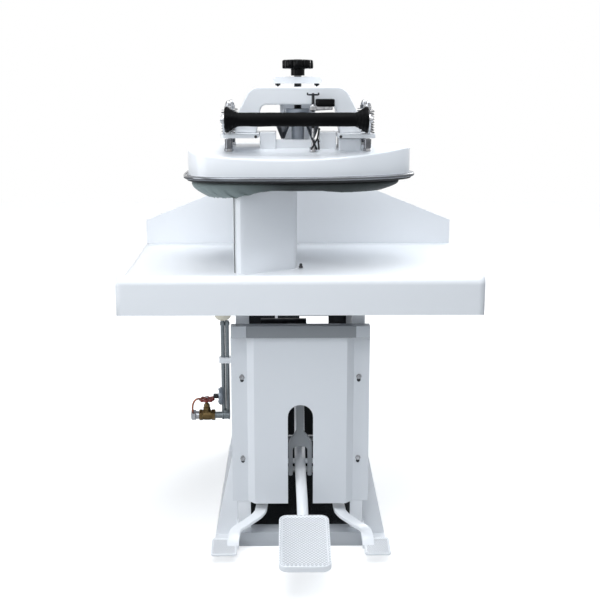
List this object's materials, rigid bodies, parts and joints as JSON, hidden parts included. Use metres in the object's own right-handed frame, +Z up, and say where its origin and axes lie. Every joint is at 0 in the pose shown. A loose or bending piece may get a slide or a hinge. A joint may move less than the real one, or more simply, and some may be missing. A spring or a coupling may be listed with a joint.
{
  "type": "steam ironing press",
  "caption": "Foot-operated steam utility press: padded buck on a neck over a folded table, sprung head on a lever arm, pedal linkage, steam valve and pipework.",
  "frame": {"origin": "on the floor, under the middle of the front base rail, at the underside of its lower flange", "axes": "+X to the operator's right, +Y away from the operator towards the arm pivot, +Z up"},
  "size_m": [1.065, 1.2929, 1.466],
  "materials": {
    "white_paint": "satin white enamel",
    "black_steel": "black paint over steel",
    "bright_steel": "bright plated steel",
    "sole_steel": "dull polished steel",
    "cast_metal": "grey casting",
    "grey_cloth": "grey-green press cloth over padding",
    "black_plastic": "black",
    "brass_metal": "cast brass",
    "red_paint": "red enamel",
    "pipe_steel": "galvanised pipe",
    "cream_paint": "cream enamel"
  },
  "bodies": {
    "frame": {"front_rail": "white_paint", "rear_rail": "white_paint", "base_pan": "black_steel", "foot_left": "white_paint", "foot_right": "white_paint", "side_frame_left": "white_paint", "side_frame_right": "white_paint", "arm_shaft": "bright_steel", "rocker_shaft": "bright_steel", "pedal_shaft": "bright_steel", "side_pedal_shaft": "bright_steel", "front_cover": "white_paint", "front_top_rail": "white_paint", "table_sheet": "white_paint", "rear_panel": "white_paint", "neck_plate": "white_paint", "neck_column": "white_paint", "buck_bed": "cast_metal", "buck_pad": "grey_cloth", "spring_crossbar": "white_paint", "counter_spring_left": "bright_steel", "counter_spring_right": "bright_steel", "steam_separator": "cream_paint", "steam_pipes": "pipe_steel", "stop_valve": "brass_metal", "valve_bonnet": "brass_metal", "steam_trap": "cast_metal", "pipe_clamp": "white_paint"},
    "head_arm": {"head_arm": "white_paint", "ear_left": "white_paint", "ear_right": "white_paint", "handle_bracket": "bright_steel", "handle_grip": "black_plastic", "bridge_plate": "white_paint", "head_spring_front_left": "bright_steel", "head_spring_rear_left": "bright_steel", "head_spring_front_right": "bright_steel", "head_spring_rear_right": "bright_steel"},
    "head": {"head_cover": "white_paint", "head_platen": "cast_metal", "sole_plate": "sole_steel", "pressure_column": "cast_metal", "spring_post_front_left": "bright_steel", "spring_post_rear_left": "bright_steel", "spring_post_front_right": "bright_steel", "spring_post_rear_right": "bright_steel", "head_steam_valve": "bright_steel"},
    "knob": {"pressure_knob": "black_plastic", "pressure_screw": "black_steel"},
    "steam_lever": {"steam_lever": "bright_steel", "steam_lever_grip": "black_plastic"},
    "valve_wheel": {"valve_wheel": "red_paint"},
    "pedal_lever": {"pedal_lever": "white_paint", "pedal_plate": "white_paint"},
    "fork_rod": {"fork_rod": "white_paint"},
    "rocker": {"rocker": "black_steel"},
    "push_rod": {"push_rod": "bright_steel"},
    "steam_pedal": {"steam_pedal": "white_paint"},
    "vacuum_pedal": {"vacuum_pedal": "white_paint"}
  },
  "joints": [
    {"name": "head_lift", "type": "hinge", "parent": "frame", "child": "head_arm", "pos_m": [0, 0.77, 0.9], "axis": [1, 0, 0], "range_deg": [-50, 0], "deforming": ["counter_spring_left", "counter_spring_right"]},
    {"name": "rocker_swing", "type": "hinge", "parent": "frame", "child": "rocker", "pos_m": [0, 0.255, 0.62], "axis": [1, 0, 0], "range_deg": [-50, 0]},
    {"name": "pedal_swing", "type": "hinge", "parent": "frame", "child": "pedal_lever", "pos_m": [0, 0.58, 0.36], "axis": [1, 0, 0], "range_deg": [-19.1, 0]},
    {"name": "fork_swing", "type": "hinge", "parent": "pedal_lever", "child": "fork_rod", "pos_m": [0, 0.0818, 0.235], "axis": [1, 0, 0], "range_deg": [0, 19.85]},
    {"name": "push_rod_swing", "type": "hinge", "parent": "rocker", "child": "push_rod", "pos_m": [-0.0785, 0.255, 0.36], "axis": [1, 0, 0], "range_deg": [0, 50]},
    {"name": "knob_turn", "type": "hinge", "parent": "head_arm", "child": "knob", "pos_m": [-0.005, 0.252, 1.4], "axis": [0, 0, 1], "range_deg": [0, 360]},
    {"name": "head_float", "type": "slide", "parent": "head_arm", "child": "head", "axis": [0, 0, 1], "range_m": [0, 0.004], "deforming": ["head_spring_front_left", "head_spring_rear_left", "head_spring_front_right", "head_spring_rear_right"]},
    {"name": "steam_lever_turn", "type": "hinge", "parent": "head", "child": "steam_lever", "pos_m": [0.04, 0.165, 1.3], "axis": [0, 0, 1], "range_deg": [-90, 0]},
    {"name": "valve_wheel_turn", "type": "hinge", "parent": "frame", "child": "valve_wheel", "pos_m": [-0.3005, 0.22, 0.39], "axis": [0, 0, 1], "continuous": true},
    {"name": "steam_pedal_press", "type": "hinge", "parent": "frame", "child": "steam_pedal", "pos_m": [-0.1195, 0.3, 0.12], "axis": [1, 0, 0], "range_deg": [0, 2.5], "stiffness_Nm_per_rad": 20, "springref_deg": -20.05},
    {"name": "vacuum_pedal_press", "type": "hinge", "parent": "frame", "child": "vacuum_pedal", "pos_m": [0.1195, 0.3, 0.12], "axis": [1, 0, 0], "range_deg": [0, 2.5], "stiffness_Nm_per_rad": 20, "springref_deg": -20.05}
  ],
  "couplings": [
    {"joint": "rocker_swing", "follows": "head_lift", "ratio": 1},
    {"joint": "pedal_swing", "follows": "head_lift", "ratio": 0.38},
    {"joint": "fork_swing", "follows": "head_lift", "ratio": -0.395},
    {"joint": "push_rod_swing", "follows": "head_lift", "ratio": -1},
    {"joint": "knob_turn", "follows": "head_float", "rad_per_m": 1570.8}
  ]
}
